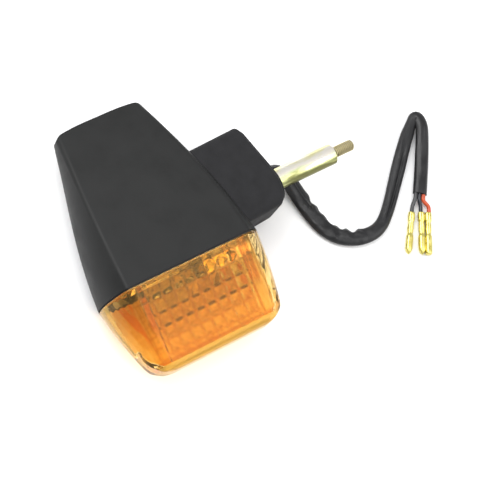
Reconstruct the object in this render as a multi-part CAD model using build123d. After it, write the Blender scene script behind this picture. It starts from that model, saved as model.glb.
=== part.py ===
from build123d import *
from math import pi, tan
import os

# Turn signal indicator for a motorcycle: a tapered housing with a wedge-shaped lens, carried on a
# rubber neck by a stepped steel stud, with a sleeved three-wire harness.
#
# Row frame: the origin is on the stud's axis, at the shoulder where its thread starts. +X is the way
# the lamp shines, +Y runs out along the stud and +Z is up. The lamp's own pieces are drawn in the lamp
# frame, whose origin is the middle of the plane where lens and housing meet, and are then moved.
JOINT_X = 21.3
LAMP_Y = -104.5

# Lamp body. Each station is (x, half width of the flat top, half height, bulge of the side).
GASKET_T = 0.9
HOUSING_STATIONS = [
    (-90.0, 22.4, 3.2, 1.0),
    (-62.0, 27.9, 11.9, 2.8),
    (-41.0, 31.1, 17.0, 5.6),
    (-20.0, 33.4, 20.5, 8.2),
    (-GASKET_T, 34.6, 22.0, 10.0),
]
LENS_STATIONS = [
    (0.0, 34.6, 22.0, 10.0),
    (15.0, 33.2, 16.4, 9.8),
    (30.0, 31.5, 10.6, 8.6),
    (46.0, 29.6, 4.9, 6.2),
]
HOUSING_WALL = 2.4
LENS_WALL = 2.3
CORNER_R = 2.6
CORNER_R_INSIDE = 1.0
BACK_X = -86.6
BACK_BOW = 1.8
BACK_HALF_WIDTH = 24.2
BACK_CORNER_R = 6.5
BACK_SIDE_SLOPE = 0.32
BACK_EDGE_R = 3.0
FRONT_X = 42.4
FRONT_HALF_WIDTH = 34.6
FRONT_CORNER_R = 13.0
NOSE_R = 4.4
FIT_GAP = 0.3
SKIRT_DEPTH = 3.0
SKIRT_T = 1.6
JOINT_EXTRA = 2.0

# Lens ears and screws, under the lens inside the housing's lower wall.
EAR_Y = 28.6
EAR_X = -7.0
EAR_WIDTH = 5.5
EAR_Z = (-17.0, -11.5)
PAD_TOP_Z = -17.2
LENS_SCREW_R = 1.95
LENS_SCREW_HEAD_R = 3.4
LENS_SCREW_HEAD_H = 1.8
LENS_SCREW_TOP_Z = -12.5
LENS_SCREW_SEAT_Z = -19.6

# Reflector: a plate across the housing's mouth with a trough behind the bulb.
PLATE_X = (-3.9, -2.7)
PLATE_INSET = 4.8
BULB_X = 1.0
TROUGH_R = 14.8
TROUGH_Y = (-24.3, 13.7)
POCKET_R = 9.6
POCKET_END_Y = 36.0
REFLECTOR_T = 1.1
REFLECTOR_SCREWS = [(-33.0, 0.0), (21.4, 14.0), (21.4, -14.0)]
SMALL_SCREW_R = 1.3
SMALL_SCREW_HEAD_R = 2.5
SMALL_SCREW_HEAD_H = 1.6
BRACKET_Y = (17.6, 25.2)
BRACKET_T = 0.8
BRACKET_EAR_Z = 17.0
BOSS_R = 3.2
BOSS_DEPTH = 12.0
PILOT_DEPTH = 9.0
RIB_T = 2.4
SCREW_PLAY = 0.05

# Bulb, lying across the lamp along Y. Places are along Y in the lamp frame.
GLASS_R = 12.5
GLASS_TIP_Y = -23.5
GLASS_T = 0.8
GLASS_NECK_R = 6.8
GLASS_END_Y = 15.0
GLASS_NECK_L = 5.5
BASE_R = 7.5
BASE_T = 0.4
BASE_Y = (11.0, 28.6)
PIN_R = 1.0
PIN_YS = [22.5, 19.5]
PIN_REACH = 8.4
TIP_Z = 2.8
TIP_R = 1.5
TIP_END_Y = 30.4
INSULATOR_REACH = 0.9
FILAMENT_R = 0.35
POST_R = 0.3
BEAD_R = 2.2
# Each filament: its place across the bulb and along it, and how far its posts stand apart.
FILAMENTS = [(-0.9, -9.0, 4.6), (0.9, -3.0, 3.6)]

# Bayonet socket.
SHELL_R = 7.75
SHELL_T = 0.7
SHELL_Y = (14.2, 37.8)
SHELL_LIP = (0.8, 0.9)
SHELL_END_T = 0.8
PIN_SLOT_HALF_DEG = 9.0
SLOT_WIDTH = 2.5
PUSH = 2.0
TWIST_DEG = 20.0
WAFER_Y = (30.5, 32.5)
WAFER_R = 7.3
SPRING_R = 5.6
SPRING_WIRE_R = 0.4
SPRING_TURNS = 3
WAFER_CONTACT_R = 1.3
WAFER_CONTACT_REACH = 0.6
LEAD_R = 0.9
LEAD_HOLE_R = 2.7
PLATE_HOLE_R = 3.1
SHELL_HOLE_R = 4.0

# Rubber neck between the housing and the stud. Each section is (back x, half height there, front x,
# half height there) with its corner radius; the end is turned a little about Z.
WINDOW_X = (-41.0, -19.0)
WINDOW_Z = 10.6
PAD_Y = 29.5
PAD_X = (-47.0, -13.5)
PAD_Z = 14.0
FLANGE_Z = 11.6
FLANGE_CORNER_R = 3.0
FLANGE_T = 2.5
CLAMP_T = 1.5
CLAMP_SCREW_XS = [-44.0, -16.6]
NECK_ROOT = (-51.5, 12.5, -5.0, 17.5)
NECK_ROOT_R = 4.0
NECK_END = (-53.0, 11.5, -7.0, 13.5)
NECK_END_R = 4.5
NECK_PANEL = (-50.4, 9.2, -9.6, 11.0)
NECK_PANEL_R = 4.0
NECK_ROOT_Y = 31.0
NECK_END_Y = 67.8
NECK_END_TILT = 8.2
NECK_PANEL_RISE = 3.2
NECK_END_EDGE_R = 1.2
NECK_PANEL_EDGE_R = 0.9
NECK_FACE_Y = 71.0
SLEEVE_X = -28.5
SLEEVE_Z = -7.0
SLEEVE_BORE_Y = 62.0

# Stud, in the row frame: the spacer ends at the shoulder, y = 0, and the M6 thread starts there.
STUD_THREAD_R = 3.0
STUD_THREAD_L = 12.5
STUD_SPACER_R = 5.5
STUD_PLATE_Y = (-47.5, -45.5)
STUD_RIVET_R = 3.5
STUD_RIVET_HEAD_R = 4.6
STUD_RIVET_HEAD_H = 1.2
STUD_SPACER_CHAMFER = 0.6
STUD_THREAD_CHAMFER = 0.9

# Harness, in the row frame. The sleeve's route is a list of points set by hand; it comes out of the
# neck beside the stud, passes under the stud and lies on the plane that the lamp stands on.
SLEEVE_R = 3.25
FLOOR_Z = -22.0
LIE_Z = FLOOR_Z + SLEEVE_R
SLEEVE_ROUTE = [
    (-7.2, -40.0, -7.0),
    (-7.2, -31.0, -7.0),
    (-1.5, -22.8, -13.8),
    (9.8, -19.6, LIE_Z),
    (22.3, -18.6, LIE_Z),
    (33.8, -14.8, LIE_Z),
    (42.8, -7.6, LIE_Z),
    (47.1, 3.0, LIE_Z),
    (44.5, 14.5, LIE_Z),
    (36.3, 23.2, LIE_Z),
    (24.9, 32.6, LIE_Z),
    (13.1, 44.2, LIE_Z),
    (3.9, 52.6, LIE_Z),
    (-5.8, 63.5, LIE_Z),
    (4.5, 73.6, LIE_Z),
    (15.4, 62.9, LIE_Z),
    (25.1, 51.0, LIE_Z),
    (36.3, 42.0, LIE_Z),
]
ARC_SHARE = 0.45
WIRE_R = 1.05
WIRE_SPACING = 2.14
WIRE_LEAD_OUT = 3.2
BULLET_R = 1.95
BULLET_Z = FLOOR_Z + BULLET_R
BULLET_LENGTH = 23.5
# (radius, place along the terminal): cover crimp, strand crimp, waist and the start of the barrel.
BULLET_PROFILE = [
    (1.75, 0.0),
    (1.75, 4.8),
    (1.25, 5.4),
    (1.25, 6.6),
    (1.6, 7.1),
    (1.6, 10.9),
    (1.2, 11.5),
    (1.2, 12.6),
    (BULLET_R, 13.2),
]
# One row per wire: name, where its bullet starts and the point its bullet aims at.
WIRES = [
    ("dark", (42.9, 33.2), (62.9, 18.4)),
    ("black", (45.0, 37.8), (65.9, 25.3)),
    ("red", (47.1, 42.0), (68.0, 29.8)),
]


def place(shape):
    """Moves a shape, or a list of separate solids, from the lamp frame to the row frame."""
    to_row = Pos(JOINT_X, LAMP_Y, 0)
    if isinstance(shape, list):
        return Compound(children=[to_row * piece for piece in shape])
    return to_row * shape


def section(x, half_width, half_height, bulge, inset, corner):
    """A cross-section of the lamp: flat top and bottom, bowed sides, rounded corners."""
    w = half_width - inset
    h = half_height - inset
    with BuildSketch(Plane(origin=(x, 0, 0), x_dir=(0, 1, 0), z_dir=(1, 0, 0))) as sketch:
        with BuildLine():
            Line((-w, h), (w, h))
            ThreePointArc((w, h), (w + bulge, 0), (w, -h))
            Line((w, -h), (-w, -h))
            ThreePointArc((-w, -h), (-w - bulge, 0), (-w, h))
        make_face()
        fillet(sketch.vertices(), corner)
    return sketch.sketch


def hull(stations, inset=0.0, corner=CORNER_R):
    """The solid through a row of cross-sections, made smaller all round by the inset."""
    return loft([section(*station, inset, corner) for station in stations])


def slab(low_x, high_x, inset, corner=CORNER_R_INSIDE):
    """A straight slice of the outline that lens and housing share, between two planes."""
    outline = section(low_x, *LENS_STATIONS[0][1:], inset, corner)
    return extrude(outline, high_x - low_x, dir=(1, 0, 0))


def box(low, high):
    """A box between two opposite corners."""
    size = [b - a for a, b in zip(low, high)]
    middle = [(a + b) / 2 for a, b in zip(low, high)]
    return Pos(*middle) * Box(*size)


def rod_x(radius, low, high, y, z):
    """A cylinder along X."""
    return Pos((low + high) / 2, y, z) * Rot(0, 90, 0) * Cylinder(radius, high - low)


def rod_y(radius, low, high, x, z):
    """A cylinder along Y."""
    return Pos(x, (low + high) / 2, z) * Rot(-90, 0, 0) * Cylinder(radius, high - low)


def rod_z(radius, low, high, x, y):
    """A cylinder along Z."""
    return Pos(x, y, (low + high) / 2) * Cylinder(radius, high - low)


def back_plan(inset=0.0):
    """The housing's outline from above: bowed back edge, rounded back corners, open past the mouth."""
    slope_reach = 90.0
    with BuildSketch() as sketch:
        with BuildLine():
            ThreePointArc(
                (BACK_X, -BACK_HALF_WIDTH),
                (BACK_X - BACK_BOW, 0),
                (BACK_X, BACK_HALF_WIDTH),
            )
            wide = BACK_HALF_WIDTH + slope_reach * BACK_SIDE_SLOPE
            Polyline(
                (BACK_X, BACK_HALF_WIDTH),
                (BACK_X + slope_reach, wide),
                (BACK_X + slope_reach, -wide),
                (BACK_X, -BACK_HALF_WIDTH),
            )
        make_face()
        back_corners = sketch.vertices().sort_by(Axis.X)[:2]
        fillet(back_corners, BACK_CORNER_R)
    outline = offset(sketch.sketch, -inset) if inset else sketch.sketch
    return extrude(outline, 30, both=True)


def front_plan(inset=0.0):
    """The lens's outline from above: straight front edge with rounded corners."""
    with BuildSketch() as sketch:
        with BuildLine():
            Polyline(
                (-10, -60),
                (8, -60),
                (FRONT_X, -FRONT_HALF_WIDTH),
                (FRONT_X, FRONT_HALF_WIDTH),
                (8, 60),
                (-10, 60),
                close=True,
            )
        make_face()
        front_corners = sketch.vertices().sort_by(Axis.X)[-2:]
        fillet(front_corners, FRONT_CORNER_R)
    outline = offset(sketch.sketch, -inset) if inset else sketch.sketch
    return extrude(outline, 30, both=True)


def nose_profile():
    """The lens's outline from the side, which rounds the front edge."""
    margin = 0.15
    first = LENS_STATIONS[0]
    last = LENS_STATIONS[-1]
    slope = (first[2] - last[2]) / (last[0] - first[0])
    front_z = first[2] - slope * FRONT_X + margin
    rear_z = first[2] + margin + 10 * slope
    with BuildSketch(Plane.XZ) as sketch:
        with BuildLine():
            Polyline(
                (-10, -rear_z),
                (-10, rear_z),
                (FRONT_X, front_z),
                (FRONT_X, -front_z),
                close=True,
            )
        make_face()
        fillet(sketch.vertices().sort_by(Axis.X)[-2:], NOSE_R)
    return extrude(sketch.sketch, 60, both=True)


def tail_profile():
    """The housing's outline from the side, which rounds the back edge."""
    first = HOUSING_STATIONS[0]
    second = HOUSING_STATIONS[1]
    slope = (second[2] - first[2]) / (second[0] - first[0])
    margin = 0.35
    reach = 100.0
    back = BACK_X - BACK_BOW
    back_z = first[2] + slope * (back - first[0]) + margin
    with BuildSketch(Plane.XZ) as sketch:
        with BuildLine():
            Polyline(
                (back, -back_z),
                (back, back_z),
                (back + reach, back_z + reach * slope * 1.6),
                (back + reach, -back_z - reach * slope * 1.6),
                close=True,
            )
        make_face()
        fillet(sketch.vertices().sort_by(Axis.X)[:2], BACK_EDGE_R)
    return extrude(sketch.sketch, 60, both=True)


def make_housing(outer):
    """The shell behind the lens, with its screw bosses and the pad that the neck is clamped to."""
    cavity_stations = HOUSING_STATIONS + [(JOINT_EXTRA, *LENS_STATIONS[0][1:])]
    cavity = hull(cavity_stations, HOUSING_WALL, CORNER_R_INSIDE) & back_plan(HOUSING_WALL)
    shell = outer - cavity
    inner_parts = box((PAD_X[0], PAD_Y, -PAD_Z), (PAD_X[1], 60, PAD_Z))
    for y, z in REFLECTOR_SCREWS:
        boss_x = PLATE_X[0]
        inner_parts += rod_x(BOSS_R, boss_x - BOSS_DEPTH, boss_x, y, z)
        if z:
            high = max(z, z * 2)
            low = min(z, z * 2)
            rib = box((boss_x - BOSS_DEPTH, y - RIB_T / 2, low), (boss_x, y + RIB_T / 2, high))
        else:
            rib = box((boss_x - BOSS_DEPTH, -60, -RIB_T / 2), (boss_x, y, RIB_T / 2))
        inner_parts += rib
    for side in (-1, 1):
        y = side * EAR_Y
        inner_parts += box((EAR_X - 5.5, y - 5, -30), (-SKIRT_DEPTH - FIT_GAP, y + 5, PAD_TOP_Z))
    housing = shell + (inner_parts & outer)
    for y, z in REFLECTOR_SCREWS:
        pilot_r = SMALL_SCREW_R + SCREW_PLAY
        housing -= rod_x(pilot_r, PLATE_X[0] - PILOT_DEPTH, PLATE_X[0] + 1, y, z)
    for side in (-1, 1):
        y = side * EAR_Y
        shank = LENS_SCREW_R + FIT_GAP
        head = LENS_SCREW_HEAD_R + FIT_GAP
        housing -= rod_z(shank, -30, -10, EAR_X, y)
        housing -= box((EAR_X, y - shank, -30), (5, y + shank, PAD_TOP_Z + 1))
        housing -= rod_z(head, -30, LENS_SCREW_SEAT_Z, EAR_X, y)
        housing -= box((EAR_X, y - head, -30), (5, y + head, LENS_SCREW_SEAT_Z))
    window = box((WINDOW_X[0], 20, -WINDOW_Z), (WINDOW_X[1], 60, WINDOW_Z))
    housing -= fillet(window.edges().filter_by(Axis.Y), 5.0)
    for x in CLAMP_SCREW_XS:
        housing -= rod_y(SMALL_SCREW_R + SCREW_PLAY, PAD_Y - 1, PAD_Y + 5, x, 0)
    return housing


def make_lens():
    """The hollow amber lens, with the skirt and the two ears that go inside the housing."""
    outer = hull(LENS_STATIONS) & front_plan() & nose_profile()
    inner_stations = [(-1.0, *LENS_STATIONS[0][1:])] + LENS_STATIONS[1:]
    inner = hull(inner_stations, LENS_WALL, CORNER_R_INSIDE) & front_plan(LENS_WALL + 0.4)
    lens = outer - inner
    skirt_inset = HOUSING_WALL + FIT_GAP + 0.15
    skirt = slab(-SKIRT_DEPTH, 1.2, skirt_inset)
    seat = slab(0.0, 1.4, 1.2) & outer
    lens += (skirt + seat) - slab(-SKIRT_DEPTH, 1.4, skirt_inset + SKIRT_T)
    for side in (-1, 1):
        y = side * EAR_Y
        half = EAR_WIDTH / 2
        ear = box((EAR_X - 4, y - half, EAR_Z[0]), (1.0, y + half, EAR_Z[1]))
        root = box((-SKIRT_DEPTH, y - half, -19.0), (1.0, y + half, EAR_Z[0]))
        lens += ear + root
        lens -= rod_z(LENS_SCREW_R + SCREW_PLAY, -18, LENS_SCREW_TOP_Z + FIT_GAP, EAR_X, y)
    return lens


def make_gasket():
    """The flat seal between the housing's rim and the lens."""
    ring = slab(-GASKET_T, 0.0, 0.7)
    ring -= slab(-GASKET_T, 0.0, HOUSING_WALL)
    return ring


def make_lens_screws():
    """Two pan-head screws from below, which hold the lens's ears."""
    screws = []
    for side in (-1, 1):
        y = side * EAR_Y
        shank = rod_z(LENS_SCREW_R, LENS_SCREW_SEAT_Z, LENS_SCREW_TOP_Z, EAR_X, y)
        head_low = LENS_SCREW_SEAT_Z - LENS_SCREW_HEAD_H
        head = rod_z(LENS_SCREW_HEAD_R, head_low, LENS_SCREW_SEAT_Z, EAR_X, y)
        cross = box((EAR_X - 1.7, y - 0.4, head_low - 1), (EAR_X + 1.7, y + 0.4, head_low + 1))
        cross += box((EAR_X - 0.4, y - 1.7, head_low - 1), (EAR_X + 0.4, y + 1.7, head_low + 1))
        screws.append(shank + head - cross)
    return screws


def make_reflector():
    """A pressed plate across the mouth: a trough behind the bulb and a half-round socket pocket."""
    low, high = PLATE_X
    plate = slab(low, high, PLATE_INSET)
    trough_low = TROUGH_Y[0] - REFLECTOR_T
    trough_high = TROUGH_Y[1] + REFLECTOR_T
    hollow = rod_y(TROUGH_R, TROUGH_Y[0], TROUGH_Y[1], BULB_X, 0)
    hollow += rod_y(POCKET_R, TROUGH_Y[1] - 1, 60, BULB_X, 0)
    skin = rod_y(TROUGH_R + REFLECTOR_T, trough_low, trough_high, BULB_X, 0)
    skin += rod_y(POCKET_R + REFLECTOR_T, trough_high - 1, POCKET_END_Y, BULB_X, 0)
    skin &= box((-40, -50, -30), (low, 50, 30))
    reflector = plate + skin - hollow
    for y, z in REFLECTOR_SCREWS:
        reflector -= rod_x(SMALL_SCREW_R + 0.2, low - 1, high + 1, y, z)
    for side in (-1, 1):
        y = side * EAR_Y
        half = EAR_WIDTH / 2 + 0.5
        reflector -= box((low - 1, y - half, -30), (high + 1, y + half, EAR_Z[1] + 0.6))
    return reflector


def small_screw_x(y, z, seat_x):
    """A small pan-head screw along X, its head on the +X side of the seat."""
    screw = rod_x(SMALL_SCREW_R, seat_x - 8.5, seat_x, y, z)
    screw += rod_x(SMALL_SCREW_HEAD_R, seat_x, seat_x + SMALL_SCREW_HEAD_H, y, z)
    top = seat_x + SMALL_SCREW_HEAD_H
    screw -= box((top - 0.9, y - 1.5, z - 0.35), (top + 1, y + 1.5, z + 0.35))
    screw -= box((top - 0.9, y - 0.35, z - 1.5), (top + 1, y + 0.35, z + 1.5))
    return screw


def make_socket_bracket():
    """A strap round the back of the socket, with an ear at each side screwed to the reflector."""
    y_low, y_high = BRACKET_Y
    seat = PLATE_X[1]
    top = seat + BRACKET_T
    inner_r = SHELL_R + SHELL_T + SCREW_PLAY
    strap = rod_y(inner_r + BRACKET_T, y_low, y_high, BULB_X, 0)
    strap -= rod_y(inner_r, y_low - 1, y_high + 1, BULB_X, 0)
    strap &= box((-30, 0, -20), (top, 40, 20))
    ears = box((seat, y_low, -BRACKET_EAR_Z), (top, y_high, BRACKET_EAR_Z))
    ears -= rod_y(inner_r, y_low - 1, y_high + 1, BULB_X, 0)
    bracket = strap + ears
    for y, z in REFLECTOR_SCREWS[1:]:
        bracket -= rod_x(SMALL_SCREW_R + 0.2, seat - 1, top + 1, y, z)
    return bracket


def make_reflector_screws():
    """Three screws: one straight on the reflector, two through the socket bracket's ears."""
    screws = [small_screw_x(*REFLECTOR_SCREWS[0], PLATE_X[1])]
    for y, z in REFLECTOR_SCREWS[1:]:
        screws.append(small_screw_x(y, z, PLATE_X[1] + BRACKET_T))
    return screws


def glass_solid(shrink):
    """The bulb's envelope as a solid of revolution, made smaller by the shrink."""
    ball_r = GLASS_R - shrink
    centre_y = GLASS_TIP_Y + GLASS_R
    neck_r = GLASS_NECK_R - shrink
    shoulder_y = centre_y + 7.0
    end_y = GLASS_END_Y - shrink
    with BuildSketch() as sketch:
        with BuildLine():
            Line((0, end_y), (0, centre_y - ball_r))
            ThreePointArc(
                (0, centre_y - ball_r),
                (ball_r * 0.7071, centre_y - ball_r * 0.7071),
                (ball_r, centre_y),
            )
            Spline(
                (ball_r, centre_y),
                (ball_r - 1.1, shoulder_y),
                (neck_r, end_y - GLASS_NECK_L),
                tangents=[(0, 1), (-0.35, 1)],
            )
            Polyline((neck_r, end_y - GLASS_NECK_L), (neck_r, end_y), (0, end_y))
        make_face()
    return Pos(BULB_X, 0, 0) * revolve(sketch.sketch, Axis.Y)


def make_bulb_base():
    """The brass cap with its two offset bayonet pins."""
    base = rod_y(BASE_R, BASE_Y[0], BASE_Y[1], BULB_X, 0)
    base -= rod_y(BASE_R - BASE_T, BASE_Y[0] - 1, BASE_Y[1] + 1, BULB_X, 0)
    for side, y in zip((1, -1), PIN_YS):
        inner = side * (BASE_R - 0.3)
        outer = side * PIN_REACH
        base += rod_z(PIN_R, min(inner, outer), max(inner, outer), BULB_X, y)
    return base


def make_filaments():
    """Two filaments, each across the tops of its own pair of posts."""
    filaments = []
    for x, y, reach in FILAMENTS:
        half = reach - POST_R
        filaments.append(rod_z(FILAMENT_R, -half, half, BULB_X + x, y))
    return filaments


def make_filament_posts():
    """The glass bead and the four support wires that stand on it."""
    bead_y = GLASS_END_Y - 6.0
    posts = [rod_y(BEAD_R, bead_y, GLASS_END_Y - 1.2, BULB_X, 0)]
    for x, y, reach in FILAMENTS:
        for side in (-1, 1):
            points = [
                (BULB_X + x, bead_y, side * 0.8),
                (BULB_X + x, bead_y - 1.5, side * 0.8),
                (BULB_X + x, bead_y - 4.5, side * reach),
                (BULB_X + x, y - 0.6, side * reach),
            ]
            posts.append(make_tube(points, POST_R, largest=1.0)[0])
    return posts


def make_insulator():
    """The black glass plug that closes the base and carries its contacts."""
    return rod_y(BASE_R - BASE_T, BASE_Y[1] - 1.4, BASE_Y[1] + INSULATOR_REACH, BULB_X, 0)


def make_bulb_contacts():
    """The two soldered contacts on the end of the bulb's base."""
    low = BASE_Y[1] + INSULATOR_REACH
    return [rod_y(TIP_R, low, TIP_END_Y, BULB_X, side * TIP_Z) for side in (-1, 1)]


def make_wafer():
    """The insulating disc that carries the socket's two contacts."""
    wafer = rod_y(WAFER_R, *WAFER_Y, BULB_X, 0)
    for side in (-1, 1):
        wafer -= rod_y(WAFER_CONTACT_R, WAFER_Y[0] - 1, WAFER_Y[1] + 1, BULB_X, side * TIP_Z)
    return wafer


def make_wafer_contacts():
    """The two brass contacts riveted through the wafer."""
    low = TIP_END_Y + 0.05
    high = WAFER_Y[1] + WAFER_CONTACT_REACH
    return [rod_y(WAFER_CONTACT_R, low, high, BULB_X, side * TIP_Z) for side in (-1, 1)]


def make_socket_shell():
    """A steel cup open towards the bulb, with one L-shaped slot for each pin."""
    low, high = SHELL_Y
    shell = rod_y(SHELL_R + SHELL_T, low, high, BULB_X, 0)
    shell += rod_y(SHELL_R + SHELL_T + SHELL_LIP[0], low, low + SHELL_LIP[1], BULB_X, 0)
    shell -= rod_y(SHELL_R, low - 1, high - SHELL_END_T, BULB_X, 0)
    shell -= rod_y(SHELL_HOLE_R, high - 2, high + 1, BULB_X, 0)
    half_angle = PIN_SLOT_HALF_DEG
    for start, pin_y in zip((-90.0, 90.0), PIN_YS):
        leg_low = pin_y - SLOT_WIDTH / 2
        leg_high = pin_y + SLOT_WIDTH / 2 + PUSH
        arc = TWIST_DEG + 2 * half_angle
        on_axis = (Align.NONE, Align.NONE, Align.CENTER)
        leg = Cylinder(12, leg_high - leg_low, arc_size=arc, align=on_axis)
        leg = Rot(0, 0, start - half_angle) * leg
        shell -= Pos(BULB_X, (leg_low + leg_high) / 2, 0) * Rot(-90, 0, 0) * leg
        entry = Pos(6, 0, 0) * Box(12, SLOT_WIDTH, leg_high - low + 2)
        entry = Rot(0, 0, start + TWIST_DEG) * entry
        shell -= Pos(BULB_X, (low - 2 + leg_high) / 2, 0) * Rot(-90, 0, 0) * entry
    return shell


def make_spring():
    """The coil spring that pushes the contact wafer towards the bulb."""
    low = WAFER_Y[1] + SPRING_WIRE_R + SCREW_PLAY
    high = SHELL_Y[1] - SHELL_END_T - SPRING_WIRE_R - SCREW_PLAY
    path = Helix(pitch=(high - low) / SPRING_TURNS, height=high - low, radius=SPRING_R)
    with BuildSketch(Plane(origin=path @ 0, z_dir=path % 0)) as wire:
        Circle(SPRING_WIRE_R)
    coil = sweep(wire.sketch, path=path)
    return Pos(BULB_X, low, 0) * Rot(-90, 0, 0) * coil


def run_lengths(points):
    """The straight distance between each point and the next."""
    return [(Vector(*b) - Vector(*a)).length for a, b in zip(points, points[1:])]


def make_tube(points, radius, largest=None):
    """A round tube on straight runs joined by arcs as large as the runs allow."""
    runs = run_lengths(points)
    radii = []
    for i in range(1, len(points) - 1):
        before = Vector(*points[i]) - Vector(*points[i - 1])
        after = Vector(*points[i + 1]) - Vector(*points[i])
        half_turn = before.get_angle(after) * pi / 360
        arc = ARC_SHARE * min(runs[i - 1], runs[i]) / tan(half_turn)
        radii.append(min(arc, largest) if largest else arc)
    path = FilletPolyline(*points, radius=radii)
    start = Plane(origin=path @ 0, z_dir=path % 0)
    with BuildSketch(start) as ring:
        Circle(radius)
    return sweep(ring.sketch, path=path), radii, path.length


def make_leads():
    """Inner wires, from the socket, behind the reflector and out through the neck."""
    turn_y = SHELL_Y[1] + 1.1
    behind_x = -12.0
    neck_y = 56.0
    contact_y = WAFER_Y[1] + WAFER_CONTACT_REACH
    specs = {
        "lead_running": ([(BULB_X, contact_y, TIP_Z), (BULB_X, turn_y, TIP_Z)], 19.4, -1.25, 0.7),
        "lead_ground": ([(-4.6, turn_y, 0.0)], 21.8, 1.25, 0.7),
        "lead_turn": ([(BULB_X, contact_y, -TIP_Z), (BULB_X, turn_y, -TIP_Z)], 17.0, 0.0, -1.4),
    }
    leads = {}
    for name, (start, level, dx, dz) in specs.items():
        z = start[0][2]
        points = start + [
            (behind_x, turn_y, z),
            (behind_x, level, z),
            (SLEEVE_X + dx, level, SLEEVE_Z + dz),
            (SLEEVE_X + dx, neck_y, SLEEVE_Z + dz),
        ]
        leads[name] = make_tube(points, LEAD_R, largest=2.2)[0]
    return leads


def neck_outline(y, corners, radius, tilt=0.0):
    """A four-cornered outline, rounded, in a plane across Y that may be turned a little about Z."""
    plane = Plane(origin=(0, y, 0), x_dir=(1, 0, 0), z_dir=(0, -1, 0)).rotated((0, 0, tilt))
    with BuildSketch(plane) as sketch:
        with BuildLine():
            Polyline(*corners, close=True)
        make_face()
        fillet(sketch.vertices(), radius)
    return sketch.sketch


def four_corners(back_x, back_z, front_x, front_z):
    """The corners of a block that is taller at its front than at its back."""
    return [(back_x, -back_z), (back_x, back_z), (front_x, front_z), (front_x, -front_z)]


def make_neck(stud, stud_plate):
    """The rubber block: plug and flange inside the housing, tapered body, raised end face."""
    root = neck_outline(NECK_ROOT_Y, four_corners(*NECK_ROOT), NECK_ROOT_R)
    end = neck_outline(NECK_END_Y, four_corners(*NECK_END), NECK_END_R, NECK_END_TILT)
    body = loft([root, end])
    body = fillet(body.faces().sort_by(Axis.Y)[-1].edges(), NECK_END_EDGE_R)
    panel = neck_outline(NECK_END_Y, four_corners(*NECK_PANEL), NECK_PANEL_R, NECK_END_TILT)
    end_normal = Vector(0, 1, 0).rotate(Axis.Z, NECK_END_TILT)
    panel = extrude(panel, NECK_PANEL_RISE, dir=end_normal)
    panel = fillet(panel.faces().sort_by(Axis.Y)[-1].edges(), NECK_PANEL_EDGE_R)
    past_the_joint = (15.0, *LENS_STATIONS[0][1:])
    body -= hull(HOUSING_STATIONS[1:] + [past_the_joint], -FIT_GAP)
    plug = box(
        (WINDOW_X[0] + FIT_GAP, PAD_Y, FIT_GAP - WINDOW_Z),
        (WINDOW_X[1] - FIT_GAP, 48, WINDOW_Z - FIT_GAP),
    )
    plug = fillet(plug.edges().filter_by(Axis.Y), 4.7)
    flange = box(
        (PAD_X[0] + 0.5, PAD_Y - FLANGE_T, -FLANGE_Z),
        (PAD_X[1] - 0.5, PAD_Y, FLANGE_Z),
    )
    flange = fillet(flange.edges().filter_by(Axis.Y), FLANGE_CORNER_R)
    neck = body + panel + plug + flange
    for x in CLAMP_SCREW_XS:
        neck -= rod_y(SMALL_SCREW_R + 0.3, PAD_Y - 5, PAD_Y + 0.5, x, 0)
    neck -= rod_y(LEAD_HOLE_R, PAD_Y - 5, NECK_FACE_Y, SLEEVE_X, SLEEVE_Z)
    neck -= rod_y(SLEEVE_R, SLEEVE_BORE_Y, NECK_FACE_Y + 1, SLEEVE_X, SLEEVE_Z)
    return neck - stud - stud_plate


def make_clamp_plate():
    """The steel plate inside the housing that holds the neck's flange against the pad."""
    low = PAD_Y - FLANGE_T - CLAMP_T
    plate = box((PAD_X[0] + 0.5, low, -FLANGE_Z), (PAD_X[1] - 0.5, low + CLAMP_T, FLANGE_Z))
    plate = fillet(plate.edges().filter_by(Axis.Y), FLANGE_CORNER_R)
    for x in CLAMP_SCREW_XS:
        plate -= rod_y(SMALL_SCREW_R + 0.2, low - 1, low + 3, x, 0)
    return plate - rod_y(PLATE_HOLE_R, low - 1, low + 3, SLEEVE_X, SLEEVE_Z)


def make_clamp_screws():
    """Two screws through the clamp plate and the neck's flange into the housing's pad."""
    screws = []
    seat = PAD_Y - FLANGE_T - CLAMP_T
    for x in CLAMP_SCREW_XS:
        screw = rod_y(SMALL_SCREW_R, seat, PAD_Y + 4.5, x, 0)
        screw += rod_y(SMALL_SCREW_HEAD_R, seat - SMALL_SCREW_HEAD_H, seat, x, 0)
        slot_low = seat - SMALL_SCREW_HEAD_H - 1
        slot_high = seat - SMALL_SCREW_HEAD_H + 0.8
        screw -= box((x - 1.5, slot_low, -0.35), (x + 1.5, slot_high, 0.35))
        screw -= box((x - 0.35, slot_low, -1.5), (x + 0.35, slot_high, 1.5))
        screws.append(screw)
    return screws


def make_stud():
    """The stepped stud in the row frame: rivet head in the rubber, spacer, M6 thread."""
    low, high = STUD_PLATE_Y
    stud = rod_y(STUD_RIVET_HEAD_R, low - STUD_RIVET_HEAD_H, low, 0, 0)
    stud += rod_y(STUD_RIVET_R, low, high, 0, 0)
    spacer = rod_y(STUD_SPACER_R, high, 0, 0, 0)
    stud += chamfer(spacer.faces().sort_by(Axis.Y)[-1].edges(), STUD_SPACER_CHAMFER)
    thread = rod_y(STUD_THREAD_R, 0, STUD_THREAD_L, 0, 0)
    return stud + chamfer(thread.faces().sort_by(Axis.Y)[-1].edges(), STUD_THREAD_CHAMFER)


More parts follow.
